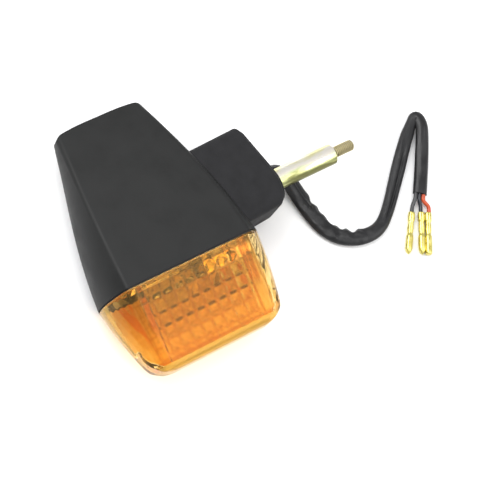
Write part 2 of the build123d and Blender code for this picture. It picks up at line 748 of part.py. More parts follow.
def make_stud_plate():
    """The steel plate moulded into the neck, riveted to the stud, with a hole for the harness."""
    low, high = STUD_PLATE_Y
    plate = box((-14.2, low, -11.0), (8.0, high, 9.0))
    plate = fillet(plate.edges().filter_by(Axis.Y), 3.0)
    plate -= rod_y(STUD_RIVET_R, low - 1, high + 1, 0, 0)
    x = SLEEVE_X + JOINT_X
    return plate - rod_y(PLATE_HOLE_R, low - 1, high + 1, x, SLEEVE_Z)


def make_bullet(start, aim):
    """A crimped bullet terminal: two crimps, a waist and a round-nosed barrel."""
    length = BULLET_LENGTH
    ball = BULLET_R
    with BuildSketch(Plane.XZ) as sketch:
        with BuildLine():
            Polyline((0, 0), *BULLET_PROFILE, (ball, length - ball))
            RadiusArc((ball, length - ball), (0, length), -ball)
            Line((0, length), (0, 0))
        make_face()
    solid = revolve(sketch.sketch, Axis.Z)
    heading = Vector(aim[0] - start[0], aim[1] - start[1], 0)
    return Plane(origin=(*start, BULLET_Z), z_dir=heading) * solid


def make_wires_and_bullets():
    """The three wire tails from the end of the sleeve, each with its bullet."""
    end = Vector(*SLEEVE_ROUTE[-1])
    along = (end - Vector(*SLEEVE_ROUTE[-2])).normalized()
    across = Vector(-along.Y, along.X, 0)
    pieces = {}
    for i, (name, start, aim) in enumerate(WIRES):
        first = end + across * (i - 1) * WIRE_SPACING
        heading = Vector(aim[0] - start[0], aim[1] - start[1], 0).normalized()
        last = Vector(*start, BULLET_Z)
        points = [
            tuple(first),
            tuple(first + along * WIRE_LEAD_OUT),
            tuple(last - heading * WIRE_LEAD_OUT),
            tuple(last),
        ]
        tube, _, length = make_tube(points, WIRE_R)
        print(f"wire_{name}: {length:.1f} mm")
        pieces["wire_" + name] = tube
        pieces["bullet_" + name] = make_bullet(start, aim)
    return pieces


def make_all():
    """Every node's shape, in the row frame."""
    outer = hull(HOUSING_STATIONS) & back_plan() & tail_profile()
    stud = make_stud()
    stud_plate = make_stud_plate()
    to_lamp = Pos(-JOINT_X, -LAMP_Y, 0)
    neck = make_neck(to_lamp * stud, to_lamp * stud_plate)
    lamp = {
        "housing": make_housing(outer),
        "lens": make_lens(),
        "lens_gasket": make_gasket(),
        "lens_screws": make_lens_screws(),
        "reflector": make_reflector(),
        "reflector_screws": make_reflector_screws(),
        "socket_bracket": make_socket_bracket(),
        "socket_shell": make_socket_shell(),
        "socket_spring": make_spring(),
        "contact_wafer": make_wafer(),
        "wafer_contacts": make_wafer_contacts(),
        "bulb_glass": glass_solid(0) - glass_solid(GLASS_T),
        "bulb_base": make_bulb_base(),
        "bulb_insulator": make_insulator(),
        "bulb_contacts": make_bulb_contacts(),
        "bulb_filaments": make_filaments(),
        "bulb_posts": make_filament_posts(),
        "neck": neck,
        "clamp_plate": make_clamp_plate(),
        "clamp_screws": make_clamp_screws(),
    }
    lamp.update(make_leads())
    nodes = {name: place(shape) for name, shape in lamp.items()}
    nodes["stud"] = stud
    nodes["stud_plate"] = stud_plate
    sleeve, radii, length = make_tube(SLEEVE_ROUTE, SLEEVE_R)
    print("sleeve arc radii, mm:", [round(r, 1) for r in radii])
    print(f"sleeve: {length:.1f} mm, volume over section times length:", end=" ")
    print(round(sleeve.volume / (pi * SLEEVE_R**2 * length), 5))
    nodes["harness_sleeve"] = sleeve
    nodes.update(make_wires_and_bullets())
    return nodes


if __name__ == "__main__":
    os.makedirs("parts", exist_ok=True)
    for node, shape in make_all().items():
        export_step(shape, f"parts/{node}.step")
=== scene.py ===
import math

import bmesh
import bpy
from mathutils import Matrix, Vector, noise


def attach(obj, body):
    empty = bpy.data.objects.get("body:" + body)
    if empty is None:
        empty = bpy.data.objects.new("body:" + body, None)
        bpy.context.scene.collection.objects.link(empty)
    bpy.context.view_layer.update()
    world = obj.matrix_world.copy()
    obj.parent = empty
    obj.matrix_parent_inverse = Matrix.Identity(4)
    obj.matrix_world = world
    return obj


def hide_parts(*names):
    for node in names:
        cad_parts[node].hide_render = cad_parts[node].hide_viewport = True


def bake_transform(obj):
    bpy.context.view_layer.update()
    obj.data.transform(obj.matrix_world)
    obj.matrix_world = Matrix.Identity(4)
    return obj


# A motorcycle turn signal in the row frame, in metres: origin on the stud's axis at the shoulder where
# its thread starts, +X the way the lamp shines, +Y out along the stud, +Z up. Shapes are written in
# millimetres. The lamp's own pieces are drawn in the lamp frame, from the middle of the lens joint.
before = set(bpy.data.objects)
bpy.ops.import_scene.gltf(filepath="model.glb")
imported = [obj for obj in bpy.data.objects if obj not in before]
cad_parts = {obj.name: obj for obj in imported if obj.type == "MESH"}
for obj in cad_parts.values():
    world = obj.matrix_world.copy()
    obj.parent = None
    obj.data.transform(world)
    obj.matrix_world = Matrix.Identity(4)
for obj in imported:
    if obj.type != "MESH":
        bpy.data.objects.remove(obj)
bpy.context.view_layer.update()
MM = 0.001
LAMP = Vector((21.3, -104.5, 0.0))
FLOOR_Z = -22.0


def new_object(name, verts, faces, material=None, shift=(0, 0, 0)):
    """A smooth mesh object from corners in millimetres, moved by the shift."""
    mesh = bpy.data.meshes.new(name)
    mesh.from_pydata([(Vector(v) + Vector(shift)) * MM for v in verts], [], faces)
    mesh.validate()
    mesh.polygons.foreach_set("use_smooth", [True] * len(mesh.polygons))
    obj = bpy.data.objects.new(name, mesh)
    bpy.context.scene.collection.objects.link(obj)
    if material:
        mesh.materials.append(material)
    return obj


def outward(obj):
    """Turns every face to look outward."""
    bm = bmesh.new()
    bm.from_mesh(obj.data)
    bmesh.ops.recalc_face_normals(bm, faces=bm.faces)
    bm.to_mesh(obj.data)
    bm.free()
    return obj


def tube_faces(rings, count):
    """Quads between closed rings of the same number of corners."""
    faces = []
    for i in range(rings - 1):
        for j in range(count):
            k = (j + 1) % count
            faces.append((i * count + j, i * count + k, (i + 1) * count + k, (i + 1) * count + j))
    return faces


def ramp(value, low, high):
    """0 below low, 1 above high, smooth between."""
    t = min(max((value - low) / (high - low), 0.0), 1.0)
    return t * t * (3 - 2 * t)


def table(value, rows):
    """A smooth value from rows of (place, value)."""
    if value <= rows[0][0]:
        return rows[0][1]
    for (a, va), (b, vb) in zip(rows, rows[1:]):
        if value <= b:
            return va + (vb - va) * ramp(value, a, b)
    return rows[-1][1]


# ---------------------------------------------------------------- materials
def node(tree, kind, **values):
    """A shader node with some of its properties and inputs set."""
    made = tree.nodes.new(kind)
    for key, value in values.items():
        if key in made.inputs:
            made.inputs[key].default_value = value
        else:
            setattr(made, key, value)
    return made


def blank(name):
    """A new material, its tree, its Principled shader and the object's own coordinates."""
    material = bpy.data.materials.new(name)
    material.use_nodes = True
    tree = material.node_tree
    shader = tree.nodes["Principled BSDF"]
    coordinates = tree.nodes.new("ShaderNodeTexCoord")
    return material, tree, shader, coordinates


def noise_of(tree, coordinates, size, detail=4.0, stretch=(1, 1, 1), roughness=0.55):
    """Noise whose patches are about the given size, in metres."""
    mapping = node(tree, "ShaderNodeMapping")
    mapping.inputs["Scale"].default_value = stretch
    tree.links.new(coordinates.outputs["Object"], mapping.inputs["Vector"])
    made = node(tree, "ShaderNodeTexNoise")
    made.inputs["Scale"].default_value = 1 / size
    made.inputs["Detail"].default_value = detail
    made.inputs["Roughness"].default_value = roughness
    tree.links.new(mapping.outputs["Vector"], made.inputs["Vector"])
    return made.outputs["Fac"]


def tones_of(tree, factor, tones):
    """Colours laid over a factor: rows of (place, colour)."""
    made = tree.nodes.new("ShaderNodeValToRGB")
    elements = made.color_ramp.elements
    while len(elements) < len(tones):
        elements.new(0.5)
    for element, (place, colour) in zip(elements, tones):
        element.position = place
        element.color = (*colour, 1)
    tree.links.new(factor, made.inputs["Fac"])
    return made.outputs["Color"]


def range_of(tree, factor, low, high):
    """A factor mapped from 0.3..0.7 to a range."""
    made = tree.nodes.new("ShaderNodeMapRange")
    for key, value in (("From Min", 0.3), ("From Max", 0.7), ("To Min", low), ("To Max", high)):
        made.inputs[key].default_value = value
    tree.links.new(factor, made.inputs["Value"])
    return made.outputs["Result"]


def bump_of(tree, height, strength, distance, below=None):
    """A bump from a height, on top of another bump."""
    made = tree.nodes.new("ShaderNodeBump")
    made.inputs["Strength"].default_value = strength
    made.inputs["Distance"].default_value = distance
    tree.links.new(height, made.inputs["Height"])
    if below:
        tree.links.new(below, made.inputs["Normal"])
    return made.outputs["Normal"]


def solid_material(name, tones, rough, size, grain, depth, metallic=0.0, stretch=(1, 1, 1), **sockets):
    """Patches of colour and gloss of one size, and a fine grain of another size and depth."""
    material, tree, shader, coordinates = blank(name)
    patches = noise_of(tree, coordinates, size, stretch=stretch)
    tree.links.new(tones_of(tree, patches, tones), shader.inputs["Base Color"])
    tree.links.new(range_of(tree, patches, *rough), shader.inputs["Roughness"])
    fine = noise_of(tree, coordinates, grain, detail=2.0, stretch=stretch)
    broad = noise_of(tree, coordinates, grain * 7, detail=3.0, stretch=stretch)
    below = bump_of(tree, broad, 0.35, depth * 2)
    tree.links.new(bump_of(tree, fine, 0.6, depth, below), shader.inputs["Normal"])
    shader.inputs["Metallic"].default_value = metallic
    for key, value in sockets.items():
        shader.inputs[key.replace("_", " ")].default_value = value
    return material


def two_tones(dark, light):
    """A dark and a light colour at the usual places of a noise's range."""
    return [(0.3, dark), (0.7, light)]


HOUSING = solid_material(
    "housing_plastic",
    two_tones((0.0065, 0.0068, 0.0068), (0.0105, 0.0108, 0.0108)),
    (0.46, 0.6), 0.012, 0.00035, 0.00006, Specular_IOR_Level=0.26,
)
RUBBER = solid_material(
    "neck_rubber",
    two_tones((0.0095, 0.0095, 0.0105), (0.0165, 0.0165, 0.018)),
    (0.6, 0.8), 0.006, 0.0006, 0.00016, Specular_IOR_Level=0.2,
)
GASKET = solid_material(
    "gasket_rubber",
    two_tones((0.008, 0.008, 0.008), (0.014, 0.014, 0.014)),
    (0.6, 0.75), 0.004, 0.0004, 0.00005,
)
SLEEVE = solid_material(
    "sleeve_vinyl",
    two_tones((0.006, 0.006, 0.0068), (0.0125, 0.0125, 0.0138)),
    (0.3, 0.46), 0.007, 0.0009, 0.00022, Specular_IOR_Level=0.34,
)
MIRROR = solid_material(
    "reflector_mirror",
    two_tones((0.78, 0.78, 0.77), (0.9, 0.9, 0.89)),
    (0.12, 0.22), 0.008, 0.0012, 0.00005, metallic=1.0,
)
STEEL = solid_material(
    "screw_steel",
    two_tones((0.5, 0.5, 0.48), (0.72, 0.72, 0.7)),
    (0.22, 0.38), 0.002, 0.0002, 0.00003, metallic=1.0,
)
SOCKET = solid_material(
    "socket_steel",
    two_tones((0.42, 0.42, 0.41), (0.66, 0.66, 0.64)),
    (0.25, 0.4), 0.003, 0.0004, 0.00004, metallic=1.0,
)
BOARD = solid_material(
    "insulator_board",
    two_tones((0.21, 0.09, 0.035), (0.32, 0.15, 0.06)),
    (0.5, 0.65), 0.002, 0.0003, 0.00004, stretch=(1, 1, 3),
)
BRASS = solid_material(
    "terminal_brass",
    [(0.25, (0.66, 0.5, 0.13)), (0.5, (0.86, 0.71, 0.24)), (0.75, (0.95, 0.84, 0.4))],
    (0.2, 0.36), 0.003, 0.00035, 0.00005, metallic=1.0,
)
SOLDER = solid_material(
    "bulb_solder",
    two_tones((0.45, 0.45, 0.46), (0.7, 0.7, 0.7)),
    (0.3, 0.45), 0.0015, 0.0003, 0.00006, metallic=1.0,
)
VITRITE = solid_material(
    "bulb_black_glass",
    two_tones((0.006, 0.006, 0.007), (0.012, 0.011, 0.012)),
    (0.08, 0.16), 0.002, 0.0004, 0.00003,
)
TUNGSTEN = solid_material(
    "filament_wire",
    two_tones((0.25, 0.25, 0.26), (0.5, 0.5, 0.5)),
    (0.3, 0.45), 0.001, 0.00015, 0.00005, metallic=1.0,
)
WIRE_DARK = solid_material(
    "wire_dark_cover",
    two_tones((0.022, 0.022, 0.024), (0.04, 0.04, 0.043)),
    (0.32, 0.45), 0.003, 0.0004, 0.00004,
)
WIRE_BLACK = solid_material(
    "wire_black_cover",
    two_tones((0.006, 0.007, 0.011), (0.011, 0.013, 0.02)),
    (0.28, 0.4), 0.003, 0.0004, 0.00004,
)
WIRE_RED = solid_material(
    "wire_red_cover",
    two_tones((0.4, 0.05, 0.014), (0.52, 0.085, 0.022)),
    (0.32, 0.45), 0.003, 0.0004, 0.00004,
)


def make_zinc():
    """Yellow zinc passivation: pale gold with faint pink, green and blue patches along the stud, and painted
    shade that turns it darker and greener towards its +X side.
    """
    material, tree, shader, coordinates = blank("zinc_yellow_steel")
    patches = noise_of(tree, coordinates, 0.006, detail=3.0, stretch=(1, 0.28, 1))
    parts = tree.nodes.new("ShaderNodeSeparateXYZ")
    tree.links.new(coordinates.outputs["Object"], parts.inputs["Vector"])
    # Painted shade: this ramp across the stud moves its colour towards the darker, greener tones on its +X
    # side.
    across = node(tree, "ShaderNodeMapRange")
    for key, value in (("From Min", -0.0055), ("From Max", 0.0055), ("To Min", -0.2), ("To Max", 0.42)):
        across.inputs[key].default_value = value
    tree.links.new(parts.outputs["X"], across.inputs["Value"])
    place = node(tree, "ShaderNodeMath", operation="ADD")
    tree.links.new(patches, place.inputs[0])
    tree.links.new(across.outputs["Result"], place.inputs[1])
    # The olive and near-black tones at the end are reached towards the +X side, where they are painted
    # shade.
    tones = [
        (0.24, (0.76, 0.72, 0.36)),
        (0.36, (0.84, 0.80, 0.52)),
        (0.48, (0.86, 0.83, 0.76)),
        (0.6, (0.8, 0.75, 0.66)),
        (0.7, (0.66, 0.70, 0.46)),
        (0.8, (0.50, 0.52, 0.24)),
        (0.92, (0.2, 0.2, 0.08)),
    ]
    tree.links.new(tones_of(tree, place.outputs["Value"], tones), shader.inputs["Base Color"])
    tree.links.new(range_of(tree, patches, 0.26, 0.38), shader.inputs["Roughness"])
    lines = noise_of(tree, coordinates, 0.0005, detail=2.0, stretch=(0.15, 2.5, 0.15))
    tree.links.new(bump_of(tree, lines, 0.35, 0.00003), shader.inputs["Normal"])
    shader.inputs["Metallic"].default_value = 1.0
    return material


def make_clear(name, tint, shadow, roughness, ior, sheen=(1, 1, 1), clear=1.0, tinted=False):
    """A clear material that also lets light through to what is behind it."""
    material, tree, shader, coordinates = blank(name)
    shader.inputs["Base Color"].default_value = (*tint, 1)
    shader.inputs["Roughness"].default_value = roughness
    shader.inputs["IOR"].default_value = ior
    shader.inputs["Transmission Weight"].default_value = clear
    shader.inputs["Specular Tint"].default_value = (*sheen, 1)
    if tinted:
        paint = node(tree, "ShaderNodeAttribute", attribute_name="tint")
        tree.links.new(paint.outputs["Color"], shader.inputs["Base Color"])
    waves = noise_of(tree, coordinates, 0.004, detail=2.0)
    tree.links.new(bump_of(tree, waves, 0.15, 0.0001), shader.inputs["Normal"])
    light = tree.nodes.new("ShaderNodeLightPath")
    through = node(tree, "ShaderNodeBsdfTransparent")
    through.inputs["Color"].default_value = (*shadow, 1)
    mix = tree.nodes.new("ShaderNodeMixShader")
    tree.links.new(light.outputs["Is Shadow Ray"], mix.inputs["Fac"])
    tree.links.new(shader.outputs["BSDF"], mix.inputs[1])
    tree.links.new(through.outputs["BSDF"], mix.inputs[2])
    tree.links.new(mix.outputs["Shader"], tree.nodes["Material Output"].inputs["Surface"])
    return material


ZINC = make_zinc()
THREAD = solid_material(
    "zinc_yellow_thread",
    two_tones((0.5, 0.43, 0.24), (0.74, 0.67, 0.44)),
    (0.34, 0.5), 0.0016, 0.0003, 0.00005, metallic=1.0,
)
# Painted shade: the thread's roots take this darker zinc so that its turns show.
THREAD_ROOT_SHADE = solid_material(
    "zinc_yellow_thread_root_painted_shade",
    two_tones((0.12, 0.10, 0.05), (0.22, 0.19, 0.1)),
    (0.4, 0.55), 0.0016, 0.0003, 0.00005, metallic=1.0,
)
BULLET = solid_material(
    "bullet_brass",
    [(0.25, (0.5, 0.42, 0.1)), (0.5, (0.7, 0.61, 0.18)), (0.75, (0.82, 0.75, 0.3))],
    (0.26, 0.38), 0.003, 0.0003, 0.00003, metallic=1.0,
)
AMBER_SHADOW = (0.93, 0.86, 0.76)
AMBER_SHEEN = (0.9, 0.55, 0.22)
AMBER = make_clear("amber_lens", (0.9, 0.62, 0.24), AMBER_SHADOW, 0.04, 1.45, AMBER_SHEEN, 0.97)
# The optics take their colour from the tint attribute, which holds painted shade along cell edges, ribs,
# lines and the front line.
OPTICS = make_clear("amber_optics_painted_shade", (0.9, 0.6, 0.2), AMBER_SHADOW, 0.06, 1.45, AMBER_SHEEN, 1.0, True)
RIM = make_clear("amber_rim", (0.72, 0.46, 0.1), AMBER_SHADOW, 0.1, 1.45, AMBER_SHEEN, 0.62)
GLASS = make_clear("bulb_glass", (0.97, 0.98, 0.98), (0.97, 0.98, 0.98), 0.0, 1.5)

CAD_MATERIALS = {
    "housing": HOUSING, "lens_gasket": GASKET, "lens_screws": STEEL, "reflector": MIRROR,
    "reflector_screws": STEEL, "socket_bracket": SOCKET, "socket_shell": SOCKET,
    "socket_spring": STEEL, "contact_wafer": BOARD, "wafer_contacts": BRASS, "bulb_glass": GLASS,
    "bulb_base": BRASS, "bulb_insulator": VITRITE, "bulb_contacts": SOLDER, "bulb_filaments": TUNGSTEN,
    "bulb_posts": STEEL, "clamp_plate": STEEL, "clamp_screws": STEEL, "stud_plate": STEEL,
    "lead_running": WIRE_BLACK, "lead_ground": WIRE_DARK, "lead_turn": WIRE_RED,
    "wire_dark": WIRE_DARK, "wire_black": WIRE_BLACK, "wire_red": WIRE_RED,
    "lens": AMBER, "neck": RUBBER, "stud": ZINC, "harness_sleeve": SLEEVE,
    "bullet_dark": BULLET, "bullet_black": BULLET, "bullet_red": BULLET,
}
for cad_name, cad_material in CAD_MATERIALS.items():
    cad_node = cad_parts[cad_name]
    cad_node.data.materials.clear()
    cad_node.data.materials.append(cad_material)

# ---------------------------------------------------------------- the lamp's shared outline
# Stations along the lamp: (x, half width of the flat top, half height, bulge of the side).
LENS_ROWS = [(0, 34.6, 22.0, 10.0), (15, 33.2, 16.4, 9.8), (30, 31.5, 10.6, 8.6), (46, 29.6, 4.9, 6.2)]
HOUSING_ROWS = [
    (-90, 22.4, 3.2, 1.0), (-62, 27.9, 11.9, 2.8), (-41, 31.1, 17.0, 5.6), (-20, 33.4, 20.5, 8.2),
    (-0.9, 34.6, 22.0, 10.0),
]
EDGE_R = 2.6
FRONT_X = 42.4
NOSE_R = 4.4
NOSE_Z = 3.2
# The rounded front corner, seen from above: x and y of its middle, and its radius.
CORNER = (28.4, 25.4, 14.0)


def hermite(x, rows, column):
    """A smooth value through rows of stations, with slopes from their neighbours."""
    i = max(0, min(len(rows) - 2, sum(1 for row in rows if row[0] <= x) - 1))

    def slope(k):
        a, b = max(k - 1, 0), min(k + 1, len(rows) - 1)
        return (rows[b][column] - rows[a][column]) / (rows[b][0] - rows[a][0])

    span = rows[i + 1][0] - rows[i][0]
    t = (x - rows[i][0]) / span
    a, b = rows[i][column], rows[i + 1][column]
    ta, tb = slope(i) * span, slope(i + 1) * span
    return (
        a * (2 * t**3 - 3 * t**2 + 1) + ta * (t**3 - 2 * t**2 + t)
        + b * (3 * t**2 - 2 * t**3) + tb * (t**3 - t**2)
    )


def side_y(x, z, rows, inset=0.0):
    """How far out the lamp's bowed side is at a place along it and a height."""
    w, h, bulge = (hermite(x, rows, c) for c in (1, 2, 3))
    radius = (h * h + bulge * bulge) / (2 * bulge)
    centre = w + bulge - radius
    return centre + math.sqrt(max(radius * radius - z * z, 0.0)) - inset


def lens_ring(x, inset, corner=EDGE_R):
    """A quarter of the lens's section from the middle of its top to the middle of its side."""
    height = hermite(x, LENS_ROWS, 2)
    nose_x = FRONT_X - NOSE_R
    if x > nose_x + 1.5:
        height = min(height, NOSE_Z + math.sqrt(max(NOSE_R**2 - (x - nose_x) ** 2, 0.0)))
    height -= inset
    limit = math.inf
    corner_x, corner_y, corner_r = CORNER
    if x > corner_x:
        limit = corner_y + math.sqrt(max(corner_r**2 - (x - corner_x) ** 2, 0.0)) - inset

    def side(z):
        return min(side_y(x, min(abs(z) + inset * 0.6, 30), LENS_ROWS, inset), limit)

    corner = min(corner, height * 0.6)
    edge = side(height)
    first = Vector((edge - corner, height))
    control = Vector((edge, height))
    last = Vector((side(height - corner), height - corner))
    flat_count, corner_count, side_count = LENS_COUNTS
    points = []
    for i in range(flat_count):
        points.append((first.x * i / flat_count, height))
    for i in range(corner_count):
        t = i / corner_count
        p = first * (1 - t) ** 2 + control * 2 * t * (1 - t) + last * t * t
        points.append((p.x, p.y))
    for i in range(side_count + 1):
        z = last.y * (1 - i / side_count)
        points.append((side(z), z))
    return points


def whole_ring(quarter):
    """A closed ring from a quarter: top, +Y side, bottom, -Y side."""
    right = quarter + [(y, -z) for y, z in reversed(quarter[:-1])]
    return right + [(-y, z) for y, z in reversed(right[1:-1])]


# The pillows moulded inside: their pitch across and along, where they start and how deep they are, and the
# half width of their field. Beside them are ribs, on the sides fine flutes, and across them two dashed rows.
PILLOW = 6.2
PILLOW_LONG = 6.3
PILLOW_START = 2.6
PILLOW_DEPTH = 1.15
FIELD = 26.6
RIB_DEPTH = 0.55
FLUTE = 3.1
FLUTE_DEPTH = 0.1
DASH_ROWS = (15.2, 21.5)
NOSE_REACH = 4.6
WALL = 2.2
# The smooth rim takes over in front of these places, outside and inside.
RIM_X = 38.6
RIM_INSIDE_X = 37.6
# Where the hollow's straight part ends, how far its rounded front goes on, and its corner radius.
HOLLOW_X = 35.9
HOLLOW_REACH = 3.2
HOLLOW_CORNER_R = 1.2
# Corners of a quarter section: along the top, round the corner and down the side.
LENS_COUNTS = (62, 8, 34)

# Ambers of the inner surface: the plastic's own range, then painted shade along its ribs, lines, cell edges
# and front line that stands in for how the moulded optics bend light, then its specks and dashes.
AMBER_PALE = Vector((0.93, 0.72, 0.32))
AMBER_HIGH = Vector((0.9, 0.61, 0.17))
AMBER_LOW = Vector((0.74, 0.37, 0.055))
AMBER_RIB_SHADE = Vector((0.82, 0.14, 0.01))
AMBER_LINE_SHADE = Vector((0.6, 0.18, 0.02))
AMBER_EDGE_SHADE = Vector((0.55, 0.18, 0.02))
AMBER_FRONT_SHADE = Vector((0.55, 0.17, 0.02))
AMBER_SPECK = Vector((0.16, 0.07, 0.03))
AMBER_DASH = Vector((0.03, 0.012, 0.008))


def pillow_field(y):
    """1 where the pillows are, 0 past the sides of their field."""
    return 1 - ramp(abs(y), FIELD, FIELD + 0.6)


def lens_relief(x, y, z, top):
    """How deep the moulded optics stand on the lens's inner surface, in millimetres."""
    fade = ramp(x, 0.6, 1.6) * (1 - ramp(x, 37.5, 38.9))
    if top:
        u = (y / PILLOW) % 1.0 - 0.5
        v = ((x - PILLOW_START) / PILLOW_LONG) % 1.0 - 0.5
        cushion = (1 - 4 * u * u) * (1 - 4 * v * v)
        ribs = RIB_DEPTH * (1 - ramp(abs(abs(y) - 29.2), 0.7, 1.5)) * (1 - ramp(x, 19, 24))
        return fade * (PILLOW_DEPTH * cushion * pillow_field(y) + ribs)
    return fade * FLUTE_DEPTH * abs(math.sin(math.pi * z / FLUTE))


def lens_tint(x, y, z, top):
    """The amber of one place on the inner surface, with painted shade deeper along cell edges, ribs, the
    field's side lines and the front line.
    """
    blotch = noise.noise(Vector((x * 0.16, y * 0.16, 2.0 + (z > 0))))
    fine = noise.noise(Vector((x * 0.8, y * 0.8, 5.0 + (z > 0))))
    tint = AMBER_HIGH.lerp(AMBER_LOW, min(max(0.45 + 0.6 * blotch + 0.7 * fine, 0.0), 1.0))
    if top:
        across = pillow_field(y)
        u = abs((y / PILLOW) % 1.0 - 0.5) * 2
        v = abs(((x - PILLOW_START) / PILLOW_LONG) % 1.0 - 0.5) * 2
        # Painted shade along the pillow cells' edges.
        edge = max(ramp(u, 0.7, 1.0), ramp(v, 0.7, 1.0)) * across
        tint = tint.lerp(AMBER_EDGE_SHADE, 0.8 * edge)
        # Painted shade along the ribs beside the pillow field.
        spread = 2.0 if y > 0 else 1.0
        rib = (1 - ramp(abs(abs(y) - 28.0 - spread / 2), spread, spread + 1.0)) * (1 - ramp(x, 18, 26))
        tint = tint.lerp(AMBER_RIB_SHADE, 0.95 * rib)
        # Painted shade in a line along each side of the pillow field.
        line = (1 - ramp(abs(abs(y) - FIELD - 0.6), 0.3, 0.8)) * ramp(x, 16, 20)
        tint = tint.lerp(AMBER_LINE_SHADE, 0.8 * line)
        for row in DASH_ROWS:
            near = (1 - ramp(abs(x - row), 0.4, 0.9)) * (1 - ramp(u, 0.5, 0.75)) * across
            tint = tint.lerp(AMBER_DASH, near * (z > 0))
        speck = noise.noise(Vector((x * 0.55, y * 0.42, 9.0))) * (1 - ramp(x, 9, 15)) * (z > 0)
        tint = tint.lerp(AMBER_SPECK, 0.85 * ramp(speck, 0.2, 0.4))
    else:
        tint = tint.lerp(AMBER_PALE, 0.6)
    # Painted shade in a line across the front, where the hollow ends.
    front = ramp(x, 35.6, 36.4) * (1 - ramp(x, 37.4, 38.2))
    return tint.lerp(AMBER_FRONT_SHADE, 0.8 * front)


def cap(ring, count):
    """Quads that close a ring whose top and bottom halves mirror each other."""
    quarter = sum(LENS_COUNTS) + 1
    half = 2 * quarter - 1
    start = ring * count
    faces = []
    for i in range(quarter - 1):
        a, b = i, i + 1
        c, d = half - 1 - b, half - 1 - a
        if b == c:
            faces.append((start + a, start + b, start + d))
        else:
            faces.append((start + a, start + b, start + c, start + d))
        left = [(count - k) % count for k in (a, b, c, d)]
        if b == c:
            faces.append((start + left[0], start + left[1], start + left[3]))
        else:
            faces.append(tuple(start + k for k in left))
    return faces


def make_lens():
    """A hollow wedge of amber plastic: smooth outside, moulded pillow optics inside."""
    nose_start = FRONT_X - NOSE_REACH
    xs = [i * 0.5 for i in range(76)]
    xs += [nose_start + NOSE_REACH * math.sin(math.pi / 2 * i / 16) for i in range(1, 17)]
    verts = []
    count = len(whole_ring(lens_ring(1.0, 0.0)))
    for x in xs:
        for y, z in whole_ring(lens_ring(x, 0.0)):
            verts.append((x, y, z))
    faces = tube_faces(len(xs), count) + cap(len(xs) - 1, count)
    outer_end = len(verts)
    tints = [(1.0, 1.0, 1.0, 1.0)] * outer_end
    inner_xs = [x for x in xs if x < HOLLOW_X]
    inner_xs += [HOLLOW_X + HOLLOW_REACH * math.sin(math.pi / 2 * i / 10) for i in range(1, 11)]
    for x in inner_xs:
        ring = whole_ring(lens_ring(min(x + WALL * 0.9, FRONT_X - 0.2), WALL, HOLLOW_CORNER_R))
        flat = hermite(x, LENS_ROWS, 2) - WALL
        for y, z in ring:
            top = abs(z) > flat - 1.6 or x > 34
            relief = lens_relief(x, y, z, top)
            tints.append((*lens_tint(x, y, z, top), 1.0))
            if top:
                z -= math.copysign(relief, z) if abs(z) > 0.5 else 0
            else:
                y -= math.copysign(relief, y)
            verts.append((x, y, z))
    inner = tube_faces(len(inner_xs), count) + cap(len(inner_xs) - 1, count)
    faces += [tuple(i + outer_end for i in face) for face in inner]
    for j in range(count):
        k = (j + 1) % count
        faces.append((j, k, outer_end + k, outer_end + j))
    obj = outward(new_object("lens_moulding", verts, faces, AMBER, shift=LAMP))
    obj.data.materials.append(OPTICS)
    obj.data.materials.append(RIM)
    # The tint attribute carries the inner surface's ambers, and the painted shade of the optics is among
    # them.
    paint = obj.data.color_attributes.new("tint", "FLOAT_COLOR", "POINT")
    paint.data.foreach_set("color", [value for tint in tints for value in tint])
    for polygon in obj.data.polygons:
        x = polygon.center.x / MM - LAMP.x
        inside = min(polygon.vertices) >= outer_end
        in_nose = x > (RIM_INSIDE_X if inside else RIM_X)
        on_side = abs(polygon.normal.y) > 0.95 and not inside
        polygon.material_index = 2 if in_nose or on_side else int(inside)
    return obj


lens = make_lens()
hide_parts("lens")
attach(lens, "lens")


# ---------------------------------------------------------------- neck
def rounded(corners, radius, count):
    """A closed outline with round corners, with the same number of points on each."""
    middle_weight = math.sqrt(0.5)
    points = []
    size = len(corners)
    for i, corner in enumerate(corners):
        here = Vector(corner)
        before = (Vector(corners[i - 1]) - here).normalized()
        after = (Vector(corners[(i + 1) % size]) - here).normalized()
        reach = radius / math.tan(before.angle(after) / 2)
        a, b = here + before * reach, here + after * reach
        for k in range(count):
            t = k / (count - 1)
            wa, wh, wb = (1 - t) ** 2, 2 * t * (1 - t) * middle_weight, t * t
            points.append((a * wa + here * wh + b * wb) / (wa + wh + wb))
    return points


def neck_corners(share, inset):
    """The neck's section, from its root at 0 to its end at 1: taller at its front edge."""
    # Each row: the back or front edge's place, or half its height, at the root and at the end.
    rows = ((-51.5, -53), (12.5, 11.5), (-5, -7), (17.5, 13.5))
    back, half_back, front, half_front = (a + (b - a) * share for a, b in rows)
    return [
        (back + inset, -half_back + inset), (front - inset, -half_front + inset),
        (front - inset, half_front - inset), (back + inset, half_back - inset),
    ]


NECK_ROOT_Y = 31.0
NECK_STEP_Y = 66.5
NECK_END_Y = 67.9
NECK_MIDDLE_X = -28.0
NECK_CORNER_R = 4.0
NECK_STEP = 1.1


def end_bow(x):
    """How far the neck's bowed end stands back from its place at the stud."""
    u = x + LAMP.x
    behind = (u - math.sqrt(u * u + 9.0)) / 2
    return 0.19 * behind - 0.021 * max(u, 0.0) ** 2


